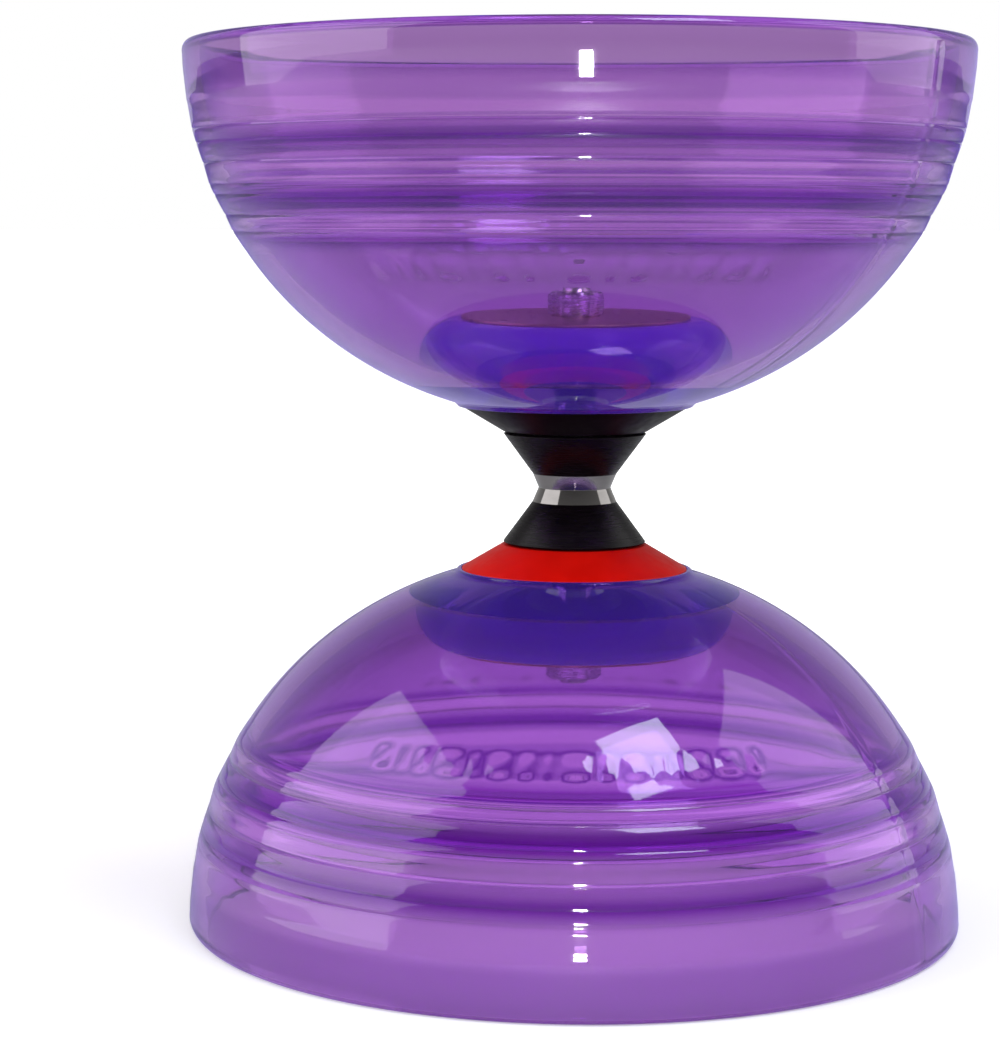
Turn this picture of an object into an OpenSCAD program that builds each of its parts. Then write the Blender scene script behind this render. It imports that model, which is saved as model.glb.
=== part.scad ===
// Bearing diabolo: two round cups clamped on one shaft, and a spool between them that turns on two
// ball bearings and a one-way clutch. The shaft lies along Z and the origin is at its middle.
// Every piece of the upper half is drawn once, above the origin, and mirrored for the lower half.

/* [Cups] */
// Diameter across a cup at its rim
cup_d = 127; // [115:1:140]
// Length of the diabolo, from rim to rim
length = 143.8; // [130:0.1:160]
// Wall of a cup at its rim
wall = 2.8; // [2.4:0.1:3.2]
// Wall of a cup at its base
base_wall = 3.4; // [2.8:0.1:5]
// Fullness of the cup's outline, where 2 is an ellipse
fullness = 2.04; // [1.9:0.01:2.3]
// Tilt of the steepest facet around a cup, from the wall beside it, in degrees
facet_tilt = 5.7; // [0:0.1:8]
// Diameter of the solid boss inside a cup, at its foot
boss_d = 52; // [44:1:54]

/* [Spool] */
// Diameter at the waist, where the string runs
waist_d = 11.8; // [11.6:0.1:12.2]
// Diameter at each end of the spool
spool_d = 23.3; // [20:0.1:24]
// Length of the spool
spool_len = 18.16; // [18.1:0.01:18.3]
// Length of the bright steel band in the middle
band_len = 4.66; // [4:0.01:6]

/* [Cone washers] */
// Diameter of a cone washer where it meets the cup
cone_washer_d = 36.9; // [34:0.1:38]
// Height of the raised lip of the cup around a cone washer
lip_h = 0.3; // [0.2:0.05:0.8]

/* [Shaft and nuts] */
// Diameter of the shaft in the bearings
shaft_d = 6; // [5.9:0.1:6]
// Diameter of the shaft's threaded ends
thread_d = 5; // [4.5:0.1:5.1]
// Nut, across its flats
nut_af = 8; // [7.5:0.1:9]
// Height of a nut
nut_h = 4; // [3:0.1:4.4]
// Diameter of the flat washer under a nut
inner_washer_d = 37.5; // [30:0.1:38]

/* [Bearings] */
// Outside diameter of a ball bearing
bearing_d = 13; // [13:0.1:13.2]
// Width of a ball bearing
bearing_w = 5; // [4.9:0.1:5]
// Diameter of a ball
ball_d = 1.984; // [1.9:0.001:2]
// Balls in each bearing
ball_count = 8; // [6:1:9]
// Outside diameter of the one-way clutch
clutch_d = 10; // [9.8:0.1:10]
// Rollers in the clutch
roller_count = 8; // [5:1:8]

/* [Hidden] */
$fn = 96;

// Along the shaft, from the middle outwards
clutch_w = 8;
bearing_z = clutch_w / 2;
bearing_mid_z = bearing_z + bearing_w / 2;
bearing_end_z = bearing_z + bearing_w;
spool_end_z = spool_len / 2;
spool_gap = 0.22;
cone_z = spool_end_z + spool_gap;
land_z = 13.6;
apex_z = 11.2;
rim_z = length / 2;
boss_top_z = 27;
inner_washer_t = 0.4;
nut_z = boss_top_z + inner_washer_t;
thread_past_nut = 0.7;
shaft_end_z = nut_z + nut_h + thread_past_nut;

// Cups
cup_r = cup_d / 2;
bowl_depth = rim_z - apex_z;
rim_round_w = 1.3;
rim_round_h = 1.7;
rim_inner_round = 0.4;
washer_play = 0.15;
lip_r = cone_washer_d / 2 + washer_play;
lip_w = 0.6;
lip_round = 0.2;
lip_foot = 0.5;
hub_hole_r = thread_d / 2 + 0.1;
boss_shoulder = 0.4;
// Straight facets around the wall as [nearest and furthest distance from the rim, share of the tilt]
FACETS = [[4.4, 9.4, 0], [10, 14, 0.3], [19.4, 22.8, 0.85], [27.6, 30.2, 1]];
FACETS_START = 3;
FACETS_END = 33.5;
// How much of the facets shows on the inside of the wall
inner_share = 0.35;

// Spool
waist_r = waist_d / 2;
spool_r = spool_d / 2;
band_z = band_len / 2;
band_rise = 0.98;
band_r = waist_r + band_rise;
spigot_r = 6.2;
spool_chamfer = 0.25;
clutch_r = clutch_d / 2;

// Cone washers and centring rings
cone_washer_edge = 0.35;
ring_inner_r = 8.25;
ring_outer_r = 12.5;
ring_t = 1.2;
spacer_r = 4;

// Bearings
shaft_r = shaft_d / 2;
thread_r = thread_d / 2;
bearing_r = bearing_d / 2;
pitch_r = (shaft_r + bearing_r) / 2;
ball_r = ball_d / 2;
race_r = ball_r + 0.03;
inner_shoulder_r = pitch_r - 0.6;
outer_shoulder_r = pitch_r + 0.6;
cage_w = 0.9;
cage_half = 1.3;
cage_play = 0.04;
shield_t = 0.25;
shield_z = 2.1;
shield_outer_r = outer_shoulder_r + 0.3;
shield_inner_r = inner_shoulder_r + 0.08;

// Clutch
roller_r = 0.62;
roller_gap = 0.02;
roller_len = 5.6;
roller_pitch_r = shaft_r + roller_gap + roller_r;
clutch_shell_t = 0.62;
clutch_lip_t = 0.6;
cage_inner_r = shaft_r + 0.12;
cage_outer_r = clutch_r - clutch_shell_t - 0.06;
clutch_lip_r = shaft_r + 0.25;
clutch_play = 0.05;

// Height of the facets on the wall at a distance h from the rim: each one leans about its own middle
function lean(facet) = tan(facet_tilt) * facet[2] * (facet[1] - facet[0]) / 2;
RELIEF = concat(
    [[FACETS_START, 0]],
    [for (facet = FACETS) each [[facet[0], -lean(facet)], [facet[1], lean(facet)]]],
    [[FACETS_END, 0]]
);
function relief(h) = lookup(h, RELIEF);

// A point of the bowl's outline at the angle t, from 0 at its apex to 90 at its rim. The inset is the
// wall at the rim and at the base, and OUTER for the outside.
OUTER = [0, 0];
INNER = [wall, base_wall];
function bowl_r(t, inset) = (cup_r - inset[0]) * pow(sin(t), 2 / fullness);
function bowl_z(t, inset) = rim_z - (bowl_depth - inset[1]) * pow(cos(t), 2 / fullness);
function bowl_point(t, inset) =
    let (z = bowl_z(t, inset), share = inset == OUTER ? 1 : inner_share)
        [bowl_r(t, inset) + share * relief(rim_z - z), z];

// Angle at which the bowl's outline has the radius r, and at which it is the distance h from the rim
function bowl_angle(r, inset) = asin(pow(r / (cup_r - inset[0]), fullness / 2));
function bowl_angle_at(h, inset) = acos(pow(h / (bowl_depth - inset[1]), fullness / 2));

// The outline's distances from the rim over the facets, with a point in the middle of each curved stretch
function facet_levels() = concat(
    [FACETS_END],
    [for (i = [len(FACETS) - 1:-1:0])
        let (next = i > 0 ? FACETS[i - 1][1] : FACETS_START)
            each [FACETS[i][1], FACETS[i][0], (FACETS[i][0] + next) / 2]],
    [FACETS_START]
);

// The outline's points: even steps over the smooth bowl from the radius r, then the facets
function bowl(r, inset) =
    let (
        steps = 18,
        from = bowl_angle(r, inset),
        to = bowl_angle_at(FACETS_END, inset)
    )
    concat(
        [for (i = [0:steps - 1]) bowl_point(from + (to - from) * i / steps, inset)],
        [for (h = facet_levels()) bowl_point(bowl_angle_at(h, inset), inset)]
    );

// An elliptical quarter round between two directions, about a centre
function arc(centre, size, from, to, steps) = [
    for (i = [0:steps])
        let (a = from + (to - from) * i / steps)
        centre + [size[0] * cos(a), size[1] * sin(a)]
];

module revolve() {
    rotate_extrude($fn = 180) children();
}

// A tube about the shaft's line, from z0 to z1
module tube(r_in, r_out, z0, z1) {
    translate([0, 0, z0]) difference() {
        cylinder(r = r_out, h = z1 - z0);
        translate([0, 0, -1]) cylinder(r = r_in, h = z1 - z0 + 2);
    }
}

module lower_half() {
    mirror([0, 0, 1]) children();
}

module cup() {
    boss_r = boss_d / 2;
    boss_top_r = inner_washer_d / 2 + boss_shoulder;
    inner_rim_r = cup_r - wall;
    outside = bowl(lip_r + lip_w + lip_foot, OUTER);
    inside = bowl(boss_r, INNER);
    inside_down = [for (i = [len(inside) - 1:-1:0]) inside[i]];
    boss_foot_z = inside[0][1];
    rim = concat(
        arc([cup_r - rim_round_w, rim_z - rim_round_h], [rim_round_w, rim_round_h], 0, 90, 8),
        arc([inner_rim_r + rim_inner_round, rim_z - rim_inner_round],
            [rim_inner_round, rim_inner_round], 90, 180, 4)
    );
    boss = arc([boss_top_r, boss_foot_z], [boss_r - boss_top_r, boss_top_z - boss_foot_z], 6, 90, 12);
    lip = concat(
        [[lip_r, land_z]],
        arc([lip_r + lip_round, land_z - lip_h + lip_round], [lip_round, lip_round], 180, 270, 3),
        arc([lip_r + lip_w - lip_round, land_z - lip_h + lip_round], [lip_round, lip_round], 270, 340, 3)
    );
    color("mediumpurple") revolve() polygon(concat(
        [[hub_hole_r, land_z]], lip, outside, rim, inside_down, boss, [[hub_hole_r, boss_top_z]]
    ));
}

module cone_washer(colour) {
    washer_r = cone_washer_d / 2;
    color(colour) difference() {
        revolve() polygon([
            [shaft_r, cone_z], [spool_r + washer_play, cone_z],
            [washer_r, land_z - cone_washer_edge], [washer_r, land_z], [shaft_r, land_z]
        ]);
        tube(ring_inner_r, ring_outer_r, land_z - ring_t, land_z + 1);
    }
}

module centring_ring() {
    color("firebrick") tube(ring_inner_r, ring_outer_r, land_z - ring_t, land_z);
}

module inner_washer() {
    washer_r = inner_washer_d / 2;
    bevel = 0.1;
    color("rosybrown") revolve() polygon([
        [hub_hole_r, boss_top_z], [washer_r - bevel, boss_top_z], [washer_r, boss_top_z + bevel],
        [washer_r, nut_z - bevel], [washer_r - bevel, nut_z], [hub_hole_r, nut_z]
    ]);
}

module nut() {
    corner_r = nut_af / 2 / cos(30);
    outside_r = corner_r + 0.1;
    chamfer_r = corner_r - 0.4;
    chamfer_h = 0.3;
    color("silver") translate([0, 0, nut_z]) difference() {
        intersection() {
            cylinder(r = corner_r, h = nut_h, $fn = 6);
            rotate_extrude() polygon([
                [0, 0], [chamfer_r, 0], [outside_r, chamfer_h],
                [outside_r, nut_h - chamfer_h], [chamfer_r, nut_h], [0, nut_h]
            ]);
        }
        translate([0, 0, -1]) cylinder(r = thread_r, h = nut_h + 2);
    }
}

module shaft() {
    shoulder_z = land_z - ring_t;
    bevel = 0.3;
    half = [
        [shaft_r, shoulder_z], [thread_r, shoulder_z],
        [thread_r, shaft_end_z - bevel], [thread_r - bevel, shaft_end_z]
    ];
    color("silver") revolve() polygon(concat(
        [[0, -shaft_end_z]],
        [for (i = [3:-1:0]) [half[i][0], -half[i][1]]],
        half,
        [[0, shaft_end_z]]
    ));
}

module spacer() {
    color("gainsboro") tube(shaft_r, spacer_r, bearing_end_z, cone_z);
}

module centre_sleeve() {
    half = [[waist_r, 0], [band_r, band_z], [spigot_r, band_z], [spigot_r, bearing_z]];
    color("silver") revolve() polygon(concat(
        [for (i = [3:-1:1]) [half[i][0], -half[i][1]]],
        half,
        [[clutch_r, bearing_z], [clutch_r, -bearing_z]]
    ));
}

module spool_cone() {
    color([0.1, 0.09, 0.1]) revolve() polygon([
        [spigot_r, band_z], [band_r, band_z],
        [spool_r, spool_end_z - spool_chamfer], [spool_r - spool_chamfer, spool_end_z],
        [bearing_r, spool_end_z], [bearing_r, bearing_z], [spigot_r, bearing_z]
    ]);
}

module clutch_shell() {
    half_w = clutch_w / 2;
    color("darkgray") union() {
        tube(clutch_r - clutch_shell_t, clutch_r, -half_w, half_w);
        for (s = [-1, 1])
            translate([0, 0, s * (half_w - clutch_lip_t / 2)])
                tube(clutch_lip_r, clutch_r - clutch_shell_t / 2, -clutch_lip_t / 2, clutch_lip_t / 2);
    }
}

module roller_places() {
    for (i = [0:roller_count - 1])
        rotate([0, 0, i * 360 / roller_count])
            translate([roller_pitch_r, 0, 0]) children();
}

module clutch_rollers() {
    color("gainsboro") roller_places() cylinder(r = roller_r, h = roller_len, center = true, $fn = 32);
}

module clutch_cage() {
    half_w = clutch_w / 2 - clutch_lip_t - clutch_play;
    color("ivory") difference() {
        tube(cage_inner_r, cage_outer_r, -half_w, half_w);
        roller_places()
            cylinder(r = roller_r + clutch_play, h = roller_len + 2 * clutch_play, center = true, $fn = 32);
    }
}

// One ring of a ball bearing, with the balls' race cut in it
module bearing_ring(r_in, r_out) {
    color("lightsteelblue") difference() {
        tube(r_in, r_out, bearing_z, bearing_end_z);
        translate([0, 0, bearing_mid_z])
            rotate_extrude() translate([pitch_r, 0]) circle(r = race_r, $fn = 48);
    }
}

module bearing_inner_ring() {
    bearing_ring(shaft_r, inner_shoulder_r);
}

module bearing_outer_ring() {
    difference() {
        bearing_ring(outer_shoulder_r, bearing_r);
        for (s = [-1, 1])
            translate([0, 0, bearing_mid_z + s * (shield_z + 1)])
                cylinder(r = shield_outer_r, h = 2, center = true);
    }
}

module ball_places() {
    for (i = [0:ball_count - 1])
        rotate([0, 0, i * 360 / ball_count])
            translate([pitch_r, 0, bearing_mid_z]) children();
}

module bearing_balls() {
    color("white") ball_places() sphere(r = ball_r, $fn = 32);
}

module bearing_cage() {
    color("goldenrod") difference() {
        tube(pitch_r - cage_w / 2, pitch_r + cage_w / 2,
             bearing_mid_z - cage_half, bearing_mid_z + cage_half);
        ball_places() sphere(r = ball_r + cage_play, $fn = 48);
    }
}

module bearing_shields() {
    for (s = [-1, 1])
        color("lightgray") translate([0, 0, bearing_mid_z + s * (shield_z + shield_t / 2)])
            tube(shield_inner_r, shield_outer_r, -shield_t / 2, shield_t / 2);
}

cup();  // upper_cup
lower_half() cup();  // lower_cup
cone_washer([0.08, 0.07, 0.08]);  // upper_cone_washer
lower_half() cone_washer("red");  // lower_cone_washer
centring_ring();  // upper_centring_ring
lower_half() centring_ring();  // lower_centring_ring
inner_washer();  // upper_inner_washer
lower_half() inner_washer();  // lower_inner_washer
nut();  // upper_nut
lower_half() nut();  // lower_nut
shaft();
spacer();  // upper_spacer
lower_half() spacer();  // lower_spacer
centre_sleeve();
spool_cone();  // upper_spool_cone
lower_half() spool_cone();  // lower_spool_cone
clutch_shell();
clutch_cage();
clutch_rollers();
bearing_inner_ring();  // upper_bearing_inner_ring
lower_half() bearing_inner_ring();  // lower_bearing_inner_ring
bearing_outer_ring();  // upper_bearing_outer_ring
lower_half() bearing_outer_ring();  // lower_bearing_outer_ring
bearing_balls();  // upper_bearing_balls
lower_half() bearing_balls();  // lower_bearing_balls
bearing_cage();  // upper_bearing_cage
lower_half() bearing_cage();  // lower_bearing_cage
bearing_shields();  // upper_bearing_shields
lower_half() bearing_shields();  // lower_bearing_shields
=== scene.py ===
"""A bearing diabolo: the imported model's frame, with detailed pieces, materials, light and a camera."""
import math

import bmesh
import bpy
from mathutils import Matrix, Vector


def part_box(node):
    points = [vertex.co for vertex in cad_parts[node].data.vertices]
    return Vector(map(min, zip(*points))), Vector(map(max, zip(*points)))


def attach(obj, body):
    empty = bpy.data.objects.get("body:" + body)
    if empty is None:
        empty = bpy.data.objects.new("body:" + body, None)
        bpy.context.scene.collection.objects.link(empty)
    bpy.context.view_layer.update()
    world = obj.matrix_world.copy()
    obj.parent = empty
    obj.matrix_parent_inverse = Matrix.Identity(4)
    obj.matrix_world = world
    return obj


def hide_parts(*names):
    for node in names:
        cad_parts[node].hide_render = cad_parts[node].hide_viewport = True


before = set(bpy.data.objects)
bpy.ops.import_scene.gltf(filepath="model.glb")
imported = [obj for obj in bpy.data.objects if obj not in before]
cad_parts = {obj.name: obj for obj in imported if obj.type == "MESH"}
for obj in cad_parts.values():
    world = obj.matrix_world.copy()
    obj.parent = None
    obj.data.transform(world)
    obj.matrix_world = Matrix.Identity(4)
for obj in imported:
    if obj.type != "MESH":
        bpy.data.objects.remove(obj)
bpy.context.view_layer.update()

MM = 0.001
TAU = 2 * math.pi
scene = bpy.context.scene

# ---------------------------------------------------------------- sizes, from the frame


def top(node):
    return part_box(node)[1][2]


def bottom(node):
    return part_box(node)[0][2]


def radius(node):
    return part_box(node)[1][0]


CUP_R = radius("upper_cup")
RIM_Z = top("upper_cup")
# The face of each cup that its cone washer presses on
LAND_Z = top("upper_cone_washer")
WASHER_R = radius("upper_cone_washer")
WASHER_Z = bottom("upper_cone_washer")
DISC_R = radius("upper_inner_washer")
DISC_Z = bottom("upper_inner_washer")
NUT_Z = bottom("upper_nut")
NUT_TOP = top("upper_nut")
NUT_FLATS = 2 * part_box("upper_nut")[1][1]
SHAFT_R = radius("shaft")
SHAFT_TOP = top("shaft")
BAND_Z = bottom("upper_spool_cone")
SPOOL_R = radius("upper_spool_cone")
SPOOL_Z = top("upper_spool_cone")
SLEEVE_Z = top("centre_sleeve")
BAND_R = radius("centre_sleeve")
BEARING_R = radius("upper_bearing_outer_ring")
RING_OUT = radius("upper_centring_ring")
RING_Z = bottom("upper_centring_ring")

# ---------------------------------------------------------------- sizes that the frame's boxes don't give

# Hub: the centring ring's bore, the thread, the holes around it, and the sleeve's spigots, bore and waist
RING_IN = 8.25 * MM
THREAD_R = 2.5 * MM
THREAD_PITCH = 0.8 * MM
HUB_HOLE_R = THREAD_R + 0.1 * MM
SPIGOT_R = 6.2 * MM
CLUTCH_R = 5 * MM
WAIST_R = BAND_R - 0.98 * MM

# The bowl: its outline is a superellipse of this power, from its apex to the rim
FULLNESS = 2.04
APEX_Z = 11.2 * MM
BOWL_DEPTH = RIM_Z - APEX_Z
WALL = 2.8 * MM
BASE_WALL = 3.4 * MM
# The solid boss in the bowl's base
BOSS_R = 26 * MM
# How far the boss's flat top reaches past the washer on it
BOSS_MARGIN = 0.4 * MM
# On the face under the cone washer: how far from its edge the boss's cloudiness starts to clear, and what is
# left of it there
CLOUD_EDGE = 0.4 * MM
EDGE_CLOUD = 0.7
RIM_ROUND_W = 1.3 * MM
RIM_ROUND_H = 1.7 * MM
RIM_INNER_ROUND = 0.4 * MM
# Gap between the end of the bowl's outline and the start of the rim's rounds
ROUND_GAP = 0.2 * MM
# Step around the cone washer: its gap to the washer, and its height, width and round
LIP_GAP = 0.15 * MM
LIP_H = 0.3 * MM
LIP_W = 0.6 * MM
LIP_ROUND = 0.25 * MM
# Length over which that step runs out into the bowl
LIP_RUNOUT = 0.3 * MM
# Film of air between clear plastic and what touches it
AIR = 0.02 * MM
# Steps of the mesh around a cup
CUP_SEGMENTS = 360

# Rings around each cup. Every distance here is from the rim, in millimetres
RINGS_END = (3.0, 33.5)
# Straight facets: their edges, and how much steeper than the wall each is
FACETS = [(4.4, 9.4, 0.0), (10.0, 14.0, 0.030), (19.4, 22.8, 0.085), (27.6, 30.2, 0.100)]
# Fine grooves, at and between the bands' edges: distance, half width, depth
GROOVES = [
    (14.0, 0.26, 0.055), (16.2, 0.3, 0.055), (19.4, 0.26, 0.06), (22.8, 0.26, 0.07),
    (24.4, 0.3, 0.08), (27.6, 0.26, 0.08), (30.2, 0.26, 0.09),
]
# The inside of the wall follows the rings by this share
INNER_RINGS = 0.35
# Pale bands, painted reflection in the wall's tint, with the width of their edges
BANDS = [(7.6, 14.0), (19.4, 22.8), (27.6, 30.2)]
BAND_EDGE = 0.35
# Dark rings of painted shade in the wall's tint, one past each band, with the width of its edges
PAINTED_SHADE_RINGS = [(14.2, 18.4, 2.0), (23.2, 26.8, 0.8), (30.4, 32.4, 0.8)]
# Paleness of the plain wall, between the painted shade of the dark rings and the painted reflection of the
# bands
PLAIN = 0.62

# Raised dashes in two arcs around each cup: lengths and gap in steps of the mesh
DASHES = [3, 1, 2, 4, 1, 3, 2, 1, 4, 2, 3, 1, 1, 3, 4, 2]
DASH_GAP = 2
# Steps from an arc's start to its middle
DASH_LEAD = 34
DASH_HEIGHT = 0.22 * MM
DASH_HALF = 1.4 * MM
DASH_FROM_RIM = 35.5 * MM
# Mould line up both sides of each cup: its step around the cup, and its depth
SEAM_STEP = 328
SEAM_DEPTH = 0.1 * MM

# ---------------------------------------------------------------- mesh helpers


def arc(centre, size, start, end, steps):
    """Points on a stretch of an ellipse, angles in degrees."""
    angles = [math.radians(start + (end - start) * i / steps) for i in range(steps + 1)]
    return [(centre[0] + size[0] * math.cos(a), centre[1] + size[1] * math.sin(a)) for a in angles]


def eased(points, ease, steps=4):
    """The closed outline with each corner off the axis cut by a small round of about that size."""
    longest_cut = 0.4
    out = []
    for i, point in enumerate(points):
        p = Vector(point)
        before = Vector(points[i - 1]) - p
        after = Vector(points[(i + 1) % len(points)]) - p
        cut = min(ease, before.length * longest_cut, after.length * longest_cut)
        if p.x < 1e-9 or cut < 1e-7:
            out.append(tuple(p))
            continue
        a = p + before.normalized() * cut
        b = p + after.normalized() * cut
        for k in range(steps + 1):
            t = k / steps
            out.append(tuple(a * (1 - t) ** 2 + p * (2 * t * (1 - t)) + b * t ** 2))
    return out


def turned(name, outline, body, segments=192, side=1, shift=None, weights=None, sharp=35):
    """A mesh turned about Z from an outline of (radius, height), closed on itself or at the axis.

    side is -1 for the mirrored lower half. shift gives what to add to the radius at an angle, radius, height
    and point of the outline. weights gives each named vertex attribute its values along the outline.
    """
    bm = bmesh.new()
    layers = {key: bm.verts.layers.float.new(key) for key in weights or ()}
    rows = []
    for i, (r, z) in enumerate(outline):
        row = []
        for k in range(1 if r < 1e-9 else segments):
            angle = TAU * k / segments
            moved = r + (shift(angle, r, z, i) if shift else 0)
            v = bm.verts.new((moved * math.cos(angle), moved * math.sin(angle), side * z))
            for key, layer in layers.items():
                v[layer] = weights[key][i]
            row.append(v)
        rows.append(row)
    for i, low in enumerate(rows):
        high = rows[(i + 1) % len(rows)]
        if len(low) == 1 and len(high) == 1:
            continue
        for k in range(segments):
            n = (k + 1) % segments
            corners = [low[k % len(low)], low[n % len(low)], high[n % len(high)], high[k % len(high)]]
            corners = list(dict.fromkeys(corners))
            bm.faces.new(corners if side > 0 else corners[::-1])
    bmesh.ops.recalc_face_normals(bm, faces=bm.faces)
    return finished(name, bm, body, sharp)


def finished(name, bm, body, sharp):
    """Turns the bmesh into a smooth piece that rides on the body, with edges sharp above that angle."""
    mesh = bpy.data.meshes.new(name)
    bm.to_mesh(mesh)
    bm.free()
    mesh.shade_smooth()
    mesh.set_sharp_from_angle(angle=math.radians(sharp))
    piece = bpy.data.objects.new(name, mesh)
    scene.collection.objects.link(piece)
    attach(piece, body)
    return piece


def standing_for(piece, node, material):
    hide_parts(node)
    piece.data.materials.append(material)


# ---------------------------------------------------------------- material helpers


def connect(tree, value, socket):
    """Sets the socket to a number, or links an output to it."""
    if isinstance(value, (int, float)):
        socket.default_value = value
    else:
        tree.links.new(value, socket)


def ranged(tree, value, start, result):
    """The value mapped from one range to another, and kept inside it."""
    spread = tree.nodes.new("ShaderNodeMapRange")
    for key, number in zip(("From Min", "From Max", "To Min", "To Max"), (*start, *result)):
        spread.inputs[key].default_value = number
    tree.links.new(value, spread.inputs["Value"])
    return spread.outputs["Result"]


class Look:
    """A Principled material with a few procedural additions.

    The colour and roughness given here are its plain ones, for a viewer that doesn't read nodes.
    """

    def __init__(self, name, colour, roughness, **sockets):
        self.material = bpy.data.materials.new(name)
        self.material.use_nodes = True
        self.tree = self.material.node_tree
        self.shader = self.tree.nodes["Principled BSDF"]
        self.shader.inputs["Base Color"].default_value = (*colour, 1)
        self.shader.inputs["Roughness"].default_value = roughness
        for socket, value in sockets.items():
            self.shader.inputs[socket.replace("_", " ").title().replace("Ior", "IOR")].default_value = value

    def node(self, kind, **values):
        made = self.tree.nodes.new(kind)
        for key, value in values.items():
            if key in made.inputs:
                made.inputs[key].default_value = value
            else:
                setattr(made, key, value)
        return made

    def link(self, output, socket):
        self.tree.links.new(output, socket)

    def place(self, scale=(1, 1, 1)):
        """Object coordinates, stretched."""
        coordinates = self.node("ShaderNodeTexCoord")
        mapping = self.node("ShaderNodeMapping", Scale=scale)
        self.link(coordinates.outputs["Object"], mapping.inputs["Vector"])
        return mapping.outputs["Vector"]

    def noise(self, size, detail=3, stretch=(1, 1, 1)):
        """Noise with features of about that size, in metres."""
        texture = self.node("ShaderNodeTexNoise", Scale=1 / size, Detail=detail)
        self.link(self.place(stretch), texture.inputs["Vector"])
        return texture.outputs["Fac"]

    def lines(self, pitch, faced):
        """Fine turned lines around Z, that pitch apart: along Z, or outwards on a faced piece."""
        wave_rate = 20  # radians of a wave texture for each unit of its scale
        texture = self.node("ShaderNodeTexWave", Scale=TAU / wave_rate / pitch, Detail=2)
        texture.inputs["Distortion"].default_value = 0 if faced else 0.4
        texture.wave_type = "RINGS" if faced else "BANDS"
        texture.bands_direction = "Z"
        texture.rings_direction = "Z"
        self.link(self.place(), texture.inputs["Vector"])
        return texture.outputs["Fac"]

    def attribute(self, name):
        """A vertex attribute's value."""
        return self.node("ShaderNodeAttribute", attribute_name=name).outputs["Fac"]

    def mix(self, share, first, second):
        """A blend of two colours, each given as numbers or as an output."""
        mix = self.node("ShaderNodeMix", data_type="RGBA")
        sockets = [s for s in mix.inputs if s.type == "RGBA"]
        for socket, colour in zip(sockets, (first, second)):
            if isinstance(colour, tuple):
                socket.default_value = (*colour, 1)
            else:
                self.link(colour, socket)
        self.link(share, mix.inputs["Factor"])
        return next(s for s in mix.outputs if s.type == "RGBA")

    def spread(self, noise, low, high):
        """Noise from 0.3 to 0.7, where most of it lies, spread over low to high."""
        return ranged(self.tree, noise, (0.3, 0.7), (low, high))

    def rough(self, noise, low, high):
        self.link(self.spread(noise, low, high), self.shader.inputs["Roughness"])

    def tint(self, noise, dark, light):
        """Varies the base colour between two colours."""
        self.link(self.mix(self.spread(noise, 0, 1), dark, light), self.shader.inputs["Base Color"])

    def turned_finish(self, amount):
        """Stretches highlights across the lines that turning leaves around Z."""
        self.shader.inputs["Anisotropic"].default_value = amount
        tangent = self.node("ShaderNodeTangent", direction_type="RADIAL", axis="Z")
        self.link(tangent.outputs["Tangent"], self.shader.inputs["Tangent"])

    def bump(self, value, height, strength):
        """Relief of that height, in metres."""
        bump = self.node("ShaderNodeBump", Strength=strength, Distance=height)
        self.link(value, bump.inputs["Height"])
        self.link(bump.outputs["Normal"], self.shader.inputs["Normal"])


# ---------------------------------------------------------------- materials


def purple_plastic():
    """Clear purple plastic: a tint at each face, with painted reflection in pale bands and painted shade in
    dark rings on the wall, absorption inside, and a denser, cloudier boss.
    """
    # The deep tint is the painted shade of the dark rings, the pale tint the painted reflection of the bands;
    # the plain wall lies between them
    painted_shade_tint = (0.27, 0.022, 0.52)
    painted_reflection_tint = (0.84, 0.50, 0.97)
    boss_tint = (0.17, 0.014, 0.90)
    wall_clear, boss_clear = 0.97, 0.35
    # Absorption of red, green and blue, per metre
    absorbed = (16.0, 26.0, 3.0)
    look = Look(
        "purple_plastic", painted_shade_tint, 0.03, transmission_weight=1.0, ior=1.5,
        sheen_weight=0.38, sheen_roughness=0.35, sheen_tint=(0.25, 0.12, 1.0, 1),
    )
    # The node absorbs its density times one minus its colour
    density = max(absorbed) / 0.98
    inside = look.node("ShaderNodeVolumeAbsorption", Density=density)
    inside.inputs["Color"].default_value = (*[1 - k / density for k in absorbed], 1)
    look.link(inside.outputs["Volume"], look.tree.nodes["Material Output"].inputs["Volume"])
    boss = look.attribute("boss")
    # The wall's tint, from painted shade in the dark rings to painted reflection in the pale bands, by the
    # vertex attribute pale
    wall_tint = look.mix(look.attribute("pale"), painted_shade_tint, painted_reflection_tint)
    look.link(look.mix(boss, wall_tint, boss_tint), look.shader.inputs["Base Color"])
    clear = ranged(look.tree, boss, (0, 1), (wall_clear, boss_clear))
    look.link(clear, look.shader.inputs["Transmission Weight"])
    look.rough(look.noise(12 * MM, 4), 0.015, 0.05)
    look.bump(look.noise(30 * MM, 2), 0.25 * MM, 0.25)
    return look.material


def satin_plastic(name, dark, light, roughness, shine):
    """Moulded satin plastic with a fine grain."""
    look = Look(name, light, roughness, specular_ior_level=shine)
    look.tint(look.noise(6 * MM, 4), dark, light)
    look.rough(look.noise(1.5 * MM), roughness - 0.06, roughness + 0.08)
    look.bump(look.noise(0.25 * MM, 2), 0.012 * MM, 0.5)
    return look.material


def black_anodised():
    """Turned aluminium, anodised black: fine lines round the axis."""
    look = Look("black_anodised", (0.006, 0.004, 0.006), 0.3, specular_ior_level=0.16)
    look.tint(look.noise(4 * MM, 4, (1, 1, 6)), (0.0022, 0.0012, 0.0022), (0.0045, 0.0026, 0.004))
    look.rough(look.noise(0.8 * MM, stretch=(0.2, 0.2, 4)), 0.20, 0.32)
    look.bump(look.lines(0.12 * MM, False), 0.002 * MM, 0.5)
    look.turned_finish(0.85)
    return look.material


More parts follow.
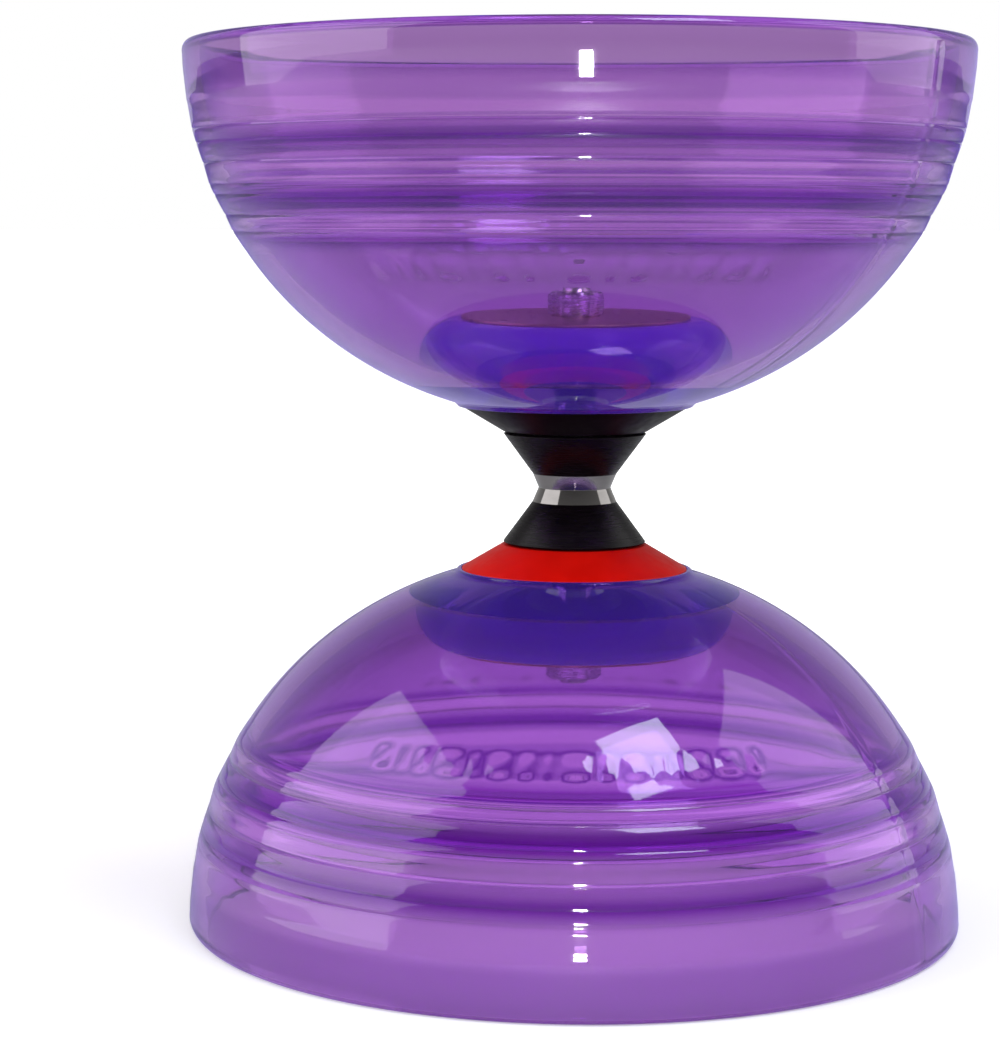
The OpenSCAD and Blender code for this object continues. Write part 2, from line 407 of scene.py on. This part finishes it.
def metal(name, colour, low, high, line=None, faced=False):
    """Bare metal of a roughness from low to high, with lines where it was turned on its side, or faced."""
    look = Look(name, colour, (low + high) / 2, metallic=1.0)
    look.tint(look.noise(3.6 * MM, 4, (1, 1, 3)), tuple(c * 0.86 for c in colour), colour)
    look.rough(look.noise(0.6 * MM, stretch=(0.3, 0.3, 3)), low, high)
    if line:
        look.bump(look.lines(line, faced), 0.002 * MM, 0.4)
    return look.material


purple = purple_plastic()
black_satin = satin_plastic(
    "black_satin_plastic", (0.0022, 0.0010, 0.0022), (0.0040, 0.0020, 0.0040), 0.36, 0.06)
red_satin = satin_plastic("red_satin_plastic", (0.64, 0.003, 0.0006), (0.75, 0.0045, 0.0009), 0.42, 0.12)
anodised = black_anodised()
mirror_steel = metal("mirror_steel", (0.27, 0.255, 0.25), 0.03, 0.09, line=0.2 * MM)
bronze_disc = metal("bronze_disc", (0.62, 0.42, 0.30), 0.25, 0.42, line=0.4 * MM, faced=True)
zinc = metal("zinc_plate", (0.66, 0.66, 0.68), 0.18, 0.36)
ground_steel = metal("ground_steel", (0.60, 0.59, 0.58), 0.14, 0.28, line=0.3 * MM)
bearing_steel = metal("bearing_steel", (0.66, 0.66, 0.67), 0.05, 0.14)
pressed_steel = metal("pressed_steel", (0.55, 0.55, 0.56), 0.2, 0.34)
brass = metal("brass_cage", (0.72, 0.50, 0.22), 0.16, 0.32)
nylon = satin_plastic("natural_nylon", (0.62, 0.57, 0.46), (0.74, 0.69, 0.57), 0.46, 0.5)

# ---------------------------------------------------------------- cups


def ring_nodes():
    """The rings' outline as a list of (distance from the rim, height on the wall), in millimetres."""
    nodes = [(RINGS_END[0], 0)]
    for near, far, steeper in FACETS:
        half = steeper * (far - near) / 2
        nodes += [(near, -half), (far, half)]
    return nodes + [(RINGS_END[1], 0)]


RING_NODES = ring_nodes()


def relief(h):
    """Height of the rings on the wall, at a distance from the rim in millimetres."""
    height = 0
    for (h0, low), (h1, high) in zip(RING_NODES, RING_NODES[1:]):
        if h0 <= h <= h1:
            height = low + (high - low) * (h - h0) / (h1 - h0)
    # A facet is straight, so the wall's own curve is taken away there
    for near, far, _ in FACETS:
        height -= max(0, (h - near) * (far - h)) / (2 * CUP_R / MM)
    for at, half_width, depth in GROOVES:
        height -= depth * max(0, 1 - ((h - at) / half_width) ** 2)
    return height


def painted_light_and_shade(h):
    """The wall's painted light and shade: 1 in a band of painted reflection, 0 in a dark ring of painted
    shade, and PLAIN elsewhere.
    """
    def inside(near, far, edge):
        return max(0, min(1, (h - near) / edge, (far - h) / edge))

    band = max(inside(near, far, BAND_EDGE) for near, far in BANDS)
    deep = max(inside(near, far, edge) for near, far, edge in PAINTED_SHADE_RINGS)
    return PLAIN + (1 - PLAIN) * band - PLAIN * deep


# How far a bowl's outline lies inside the outer one, at its rim and at its base
OUTER = (0, 0)
INNER = (WALL, BASE_WALL)


def bowl_point(angle, inset, share):
    """A point of the bowl's outline at that angle from the base, with that share of the rings."""
    r = (CUP_R - inset[0]) * math.sin(angle) ** (2 / FULLNESS)
    z = RIM_Z - (BOWL_DEPTH - inset[1]) * max(math.cos(angle), 0) ** (2 / FULLNESS)
    return (r + share * MM * relief((RIM_Z - z) / MM), z)


def bowl_angle(r, inset):
    return math.asin((r / (CUP_R - inset[0])) ** (FULLNESS / 2))


def ring_levels():
    """Distances from the rim, in millimetres, that give the rings' outline its points, furthest first."""
    longest_step = 0.9
    levels = {h for h, _ in RING_NODES}
    for at, half_width, _ in GROOVES:
        levels |= {at + half_width * k / 3 for k in range(-3, 4)}
    ordered = sorted(levels)
    for h0, h1 in zip(ordered, ordered[1:]):
        count = math.ceil((h1 - h0) / longest_step)
        levels |= {h0 + (h1 - h0) * k / count for k in range(1, count)}
    return sorted(levels, reverse=True)


def bowl(start_r, inset, end_gap, share, steps):
    """The bowl's outline from a radius to near the rim: that many steps up to the rings, finer over them."""
    depth = BOWL_DEPTH - inset[1]
    start = bowl_angle(start_r, inset)
    bends = [math.acos((h * MM / depth) ** (FULLNESS / 2)) for h in ring_levels()]
    end = math.pi / 2 - end_gap / BOWL_DEPTH
    angles = [start + (bends[0] - start) * i / steps for i in range(steps)] + bends + [end]
    return [bowl_point(a, inset, share) for a in angles]


def dash_steps():
    """1 for each step around the cup that has a raised dash, in two arcs, at the back and at the front."""
    steps = [0] * CUP_SEGMENTS
    for middle in (CUP_SEGMENTS // 4, 3 * CUP_SEGMENTS // 4):
        at = middle - DASH_LEAD
        for length in DASHES:
            for k in range(length):
                steps[at + k] = 1
            at += length + DASH_GAP
    return steps


def cup_lip():
    """The step around the cone washer, with its corners rounded."""
    lip_r = WASHER_R + LIP_GAP
    land = LAND_Z + AIR
    corners = [
        (HUB_HOLE_R, land), (lip_r, land), (lip_r, land - LIP_H), (lip_r + LIP_W, land - LIP_H),
        bowl_point(bowl_angle(lip_r + LIP_W + LIP_RUNOUT, OUTER), OUTER, 1),
    ]
    round_steps = 4
    return eased(corners, LIP_ROUND, round_steps)[round_steps + 1:-round_steps - 1]


def cup(side, name):
    """A cup's shell, outlined from the hub's hole up the outside, over the rim and down to the boss."""
    land = LAND_Z + AIR
    lip_r = WASHER_R + LIP_GAP
    disc_edge = DISC_R + BOSS_MARGIN
    inner_r = CUP_R - WALL
    # The last number of each arc and bowl is its count of steps
    start = [(HUB_HOLE_R, land), (lip_r - CLOUD_EDGE, land)] + cup_lip()
    outside = bowl(lip_r + LIP_W + 2 * LIP_RUNOUT, OUTER, RIM_ROUND_H + ROUND_GAP, 1, 64)
    rim = arc((CUP_R - RIM_ROUND_W, RIM_Z - RIM_ROUND_H), (RIM_ROUND_W, RIM_ROUND_H), 0, 90, 10)
    rim += arc(
        (inner_r + RIM_INNER_ROUND, RIM_Z - RIM_INNER_ROUND), (RIM_INNER_ROUND, RIM_INNER_ROUND), 90, 180, 5)
    inside = bowl(BOSS_R, INNER, RIM_INNER_ROUND + ROUND_GAP, INNER_RINGS, 26)[::-1]
    foot_z = inside[-1][1]
    shoulder = arc((disc_edge, foot_z), (BOSS_R - disc_edge, DISC_Z - foot_z), 4, 90, 14)
    wall = start + outside + rim + inside
    boss = shoulder + [(HUB_HOLE_R, DISC_Z)]
    cloud = [1.0, EDGE_CLOUD] + [0.0] * (len(wall) - 2) + [1.0] * len(boss)
    # The attribute pale carries painted light and shade: painted reflection in the bands, painted shade in
    # the dark rings
    weights = {"boss": cloud, "pale": [painted_light_and_shade((RIM_Z - z) / MM) for _, z in wall + boss]}
    dashes = dash_steps()

    def marks(angle, r, z, i):
        """What the dashes and the mould line add to the radius on the outside of the bowl."""
        if not len(start) <= i < len(start) + len(outside):
            return 0
        step = round(angle / TAU * CUP_SEGMENTS) % CUP_SEGMENTS
        near = (RIM_Z - z - DASH_FROM_RIM) / DASH_HALF
        seam = SEAM_DEPTH if step in (SEAM_STEP, SEAM_STEP - CUP_SEGMENTS // 2) else 0
        return DASH_HEIGHT * dashes[step] * math.exp(-near ** 4) - seam

    piece = turned(name, wall + boss, "cups", CUP_SEGMENTS, side, marks, weights, sharp=50)
    standing_for(piece, name.replace("_shell", ""), purple)


# ---------------------------------------------------------------- hub and shaft


def cone_washer(side, name, material):
    edge = 0.35 * MM
    small_r = SPOOL_R + 0.15 * MM
    outline = eased([
        (SHAFT_R, WASHER_Z), (small_r, WASHER_Z), (WASHER_R, LAND_Z - edge), (WASHER_R, LAND_Z),
        (RING_OUT, LAND_Z), (RING_OUT, RING_Z), (RING_IN, RING_Z), (RING_IN, LAND_Z), (SHAFT_R, LAND_Z),
    ], 0.12 * MM)
    piece = turned(name, outline, "cups", 240, side)
    standing_for(piece, name.replace("_moulded", ""), material)


def disc(side, name):
    outline = eased([
        (HUB_HOLE_R, DISC_Z + AIR), (DISC_R, DISC_Z + AIR), (DISC_R, NUT_Z), (HUB_HOLE_R, NUT_Z),
    ], 0.1 * MM)
    piece = turned(name, outline, "cups", 192, side)
    standing_for(piece, name.replace("_pressed", ""), bronze_disc)


def hex_nut(side, name):
    """A hexagon nut: chamfered corners, a bore with a countersink, turned rounds at its ends."""
    height = NUT_TOP - NUT_Z
    flats = NUT_FLATS / 2
    corner = flats / math.cos(math.pi / 6) - 0.08 * MM
    chamfer = 0.35 * MM
    face_r = flats - 0.1 * MM
    sink_r = THREAD_R + 0.35 * MM
    sink = 0.4 * MM
    # Radius, height, and whether the row is a hexagon
    rows = [
        (THREAD_R, sink, False), (sink_r, 0, False), (face_r, 0, False), (flats, chamfer, True),
        (flats, height - chamfer, True), (face_r, height, False), (sink_r, height, False),
        (THREAD_R, height - sink, False),
    ]
    segments = 96
    bm = bmesh.new()
    rings = []
    for r, z, hexagonal in rows:
        ring = []
        for k in range(segments):
            angle = TAU * k / segments
            across = ((angle + math.pi / 6) % (math.pi / 3)) - math.pi / 6
            reach = min(r / math.cos(across), corner) if hexagonal else r
            turn = angle + math.pi / 2
            at = (reach * math.cos(turn), reach * math.sin(turn), side * (NUT_Z + z))
            ring.append(bm.verts.new(at))
        rings.append(ring)
    for i, low in enumerate(rings):
        high = rings[(i + 1) % len(rings)]
        for k in range(segments):
            n = (k + 1) % segments
            bm.faces.new((low[k], low[n], high[n], high[k]))
    bmesh.ops.recalc_face_normals(bm, faces=bm.faces)
    piece = finished(name, bm, "cups", 22)
    standing_for(piece, name.replace("_cut", ""), zinc)


def threaded_shaft():
    """The shaft, with a real screw thread at each end."""
    shoulder = LAND_Z - 1 * MM
    shoulder_ease = 0.2 * MM
    bevel = 0.35 * MM
    # Distances from the shoulder: where the thread's radius, its rows of points and its cut begin
    neck, first_row, first_cut = 0.15 * MM, 0.4 * MM, 0.6 * MM
    # What the rows leave free, at their start and before the bevel
    rows_room = 0.5 * MM
    depth = 0.45 * MM
    crest_power = 1.3
    rows_per_turn = 8

    def thread(angle, r, z, i):
        """The thread's cut, which leaves the bevelled end alone."""
        if abs(z) < shoulder + first_cut or r < THREAD_R - 0.01 * MM:
            return 0
        phase = (z / THREAD_PITCH - angle / TAU) % 1
        return -depth * abs(2 * phase - 1) ** crest_power

    step = THREAD_PITCH / rows_per_turn
    count = int((SHAFT_TOP - bevel - shoulder - rows_room) / step)
    end = [(SHAFT_R - shoulder_ease, shoulder), (THREAD_R, shoulder + neck)]
    end += [(THREAD_R, shoulder + first_row + k * step) for k in range(count + 1)]
    end += [(THREAD_R - bevel, SHAFT_TOP)]
    middle = [(SHAFT_R, -shoulder + shoulder_ease), (SHAFT_R, shoulder - shoulder_ease)]
    lower_end = [(r, -z) for r, z in reversed(end)]
    outline = [(0, -SHAFT_TOP)] + lower_end + middle + end + [(0, SHAFT_TOP)]
    piece = turned("threaded_shaft", outline, "cups", 48, shift=thread, sharp=60)
    standing_for(piece, "shaft", ground_steel)


# ---------------------------------------------------------------- spool


def waist_sleeve():
    """The bright hourglass sleeve, with its two spigots."""
    half = [(WAIST_R, 0.0), (BAND_R, BAND_Z), (SPIGOT_R, BAND_Z), (SPIGOT_R, SLEEVE_Z), (CLUTCH_R, SLEEVE_Z)]
    lower = [(r, -z) for r, z in reversed(half[1:])]
    outline = eased(lower + half, 0.05 * MM, 3)
    piece = turned("waist_sleeve", outline, "spool", 240, sharp=12)
    standing_for(piece, "centre_sleeve", mirror_steel)


def spool_cone(side, name):
    chamfer = 0.25 * MM
    outline = eased([
        (SPIGOT_R, BAND_Z), (BAND_R, BAND_Z), (SPOOL_R, SPOOL_Z - chamfer), (SPOOL_R - chamfer, SPOOL_Z),
        (BEARING_R, SPOOL_Z), (BEARING_R, SLEEVE_Z), (SPIGOT_R, SLEEVE_Z),
    ], 0.06 * MM, 3)
    piece = turned(name, outline, "spool", 240, side, sharp=20)
    standing_for(piece, name.replace("_turned", ""), anodised)


for side, half in ((1, "upper"), (-1, "lower")):
    cup(side, f"{half}_cup_shell")
    disc(side, f"{half}_inner_washer_pressed")
    hex_nut(side, f"{half}_nut_cut")
    spool_cone(side, f"{half}_spool_cone_turned")
cone_washer(1, "upper_cone_washer_moulded", black_satin)
cone_washer(-1, "lower_cone_washer_moulded", red_satin)
threaded_shaft()
waist_sleeve()

# CAD nodes that stay as they are, by the ending of their names, with a finish each
KEPT = {
    "centring_ring": red_satin, "spacer": ground_steel, "bearing_inner_ring": bearing_steel,
    "bearing_outer_ring": bearing_steel, "bearing_balls": bearing_steel, "bearing_cage": brass,
    "bearing_shields": pressed_steel, "clutch_shell": pressed_steel, "clutch_cage": nylon,
    "clutch_rollers": bearing_steel,
}
for node_name, node_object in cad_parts.items():
    for ending, material in KEPT.items():
        if node_name.endswith(ending):
            for material_slot in node_object.material_slots:
                material_slot.material = material

# ---------------------------------------------------------------- floor, light and camera

# Brightness of the surroundings seen through the plastic, and at the horizon in a gloss
AMBIENT = 0.49
GLOW = 0.55


def by_ray(tree, seen, reflected, other):
    """One strength for what is seen directly, one for what a gloss reflects and one for the rest."""
    path = tree.nodes.new("ShaderNodeLightPath")
    gloss = ranged(tree, path.outputs["Glossy Depth"], (0, 1), (0, 1))
    result = other
    for choice, factor in ((reflected, gloss), (seen, path.outputs["Is Camera Ray"])):
        mix = tree.nodes.new("ShaderNodeMix")
        tree.links.new(factor, mix.inputs[0])
        connect(tree, result, mix.inputs[2])
        connect(tree, choice, mix.inputs[3])
        result = mix.outputs[0]
    return result


def surroundings():
    """White behind the object, with a bright horizon in its gloss and a soft grey through its plastic."""
    world = bpy.data.worlds.new("studio")
    world.use_nodes = True
    scene.world = world
    tree = world.node_tree
    background = tree.nodes["Background"]
    background.inputs["Color"].default_value = (1, 1, 1, 1)
    coordinates = tree.nodes.new("ShaderNodeTexCoord")
    apart = tree.nodes.new("ShaderNodeSeparateXYZ")
    tree.links.new(coordinates.outputs["Generated"], apart.inputs["Vector"])
    fades_by, overhead = 0.65, 0.12 * GLOW
    glow = ranged(tree, apart.outputs["Z"], (0, fades_by), (GLOW, overhead))
    tree.links.new(by_ray(tree, 1.0, glow, AMBIENT), background.inputs["Strength"])


def floor():
    """A pale floor that turns into the white surroundings far from the object."""
    reach = 30
    below = -RIM_Z - AIR
    mesh = bpy.data.meshes.new("floor")
    corners = [(-reach, -reach, below), (reach, -reach, below), (reach, reach, below), (-reach, reach, below)]
    mesh.from_pydata(corners, [], [(0, 1, 2, 3)])
    plane = bpy.data.objects.new("floor", mesh)
    scene.collection.objects.link(plane)
    look = Look("pale_floor", (0.86, 0.86, 0.87), 0.9, emission_color=(1, 1, 1, 1))
    coordinates = look.node("ShaderNodeTexCoord")
    length = look.node("ShaderNodeVectorMath", operation="LENGTH")
    look.link(coordinates.outputs["Object"], length.inputs[0])
    # It glows towards white far away, where it is seen directly, and a little close by, for the plastic
    seen = ranged(look.tree, length.outputs["Value"], (0.05, 0.6), (0.25, 1))
    near = ranged(look.tree, length.outputs["Value"], (0.06, 0.16), (0.12, 0))
    look.link(by_ray(look.tree, seen, near, near), look.shader.inputs["Emission Strength"])
    mesh.materials.append(look.material)


def softbox(name, place, target, width, height, radiance, colour=(1, 1, 1)):
    """An area light of that size and brightness, aimed at a point."""
    light = bpy.data.lights.new(name, "AREA")
    light.shape = "RECTANGLE"
    light.size = width
    light.size_y = height
    light.energy = radiance * math.pi * width * height
    light.color = colour
    lamp = bpy.data.objects.new(name, light)
    lamp.location = place
    lamp.rotation_euler = (Vector(target) - Vector(place)).to_track_quat("-Z", "Y").to_euler()
    scene.collection.objects.link(lamp)


def camera():
    """The camera, at the photograph's viewing angle."""
    place = Vector((0, -0.4478, 0.04345))
    pitch, yaw, roll = math.radians(-6.32), math.radians(-2.509), math.radians(0.10)
    ahead = Vector((math.sin(yaw) * math.cos(pitch), math.cos(yaw) * math.cos(pitch), math.sin(pitch)))
    data = bpy.data.cameras.new("camera")
    data.lens = 95.12
    data.sensor_width = 36
    data.shift_x = 0.0434
    data.shift_y = 0.0051
    view = bpy.data.objects.new("camera", data)
    turn = ahead.to_track_quat("-Z", "Y").to_matrix().to_4x4() @ Matrix.Rotation(roll, 4, "Z")
    view.matrix_world = Matrix.Translation(place) @ turn
    scene.collection.objects.link(view)
    scene.camera = view


surroundings()
floor()
softbox("left_box", (-1.28, -0.22, 0.6), (0, 0, 0.3), 1.5, 1.9, 1.9)
softbox("right_box", (1.25, 0.25, 0.6), (0, 0, 0.3), 1.0, 1.9, 1.4)
softbox("roof_window", (0.40, -0.46, 1.05), (0, 0, 0), 0.42, 0.42, 9.0, (0.82, 0.89, 1.0))
softbox("flash", (0.021, -0.518, -0.008), (0, 0, 0), 0.030, 0.018, 420.0)
camera()
scene.view_settings.view_transform = "Standard"
scene.cycles.max_bounces = 24
scene.cycles.transmission_bounces = 24
scene.cycles.glossy_bounces = 8
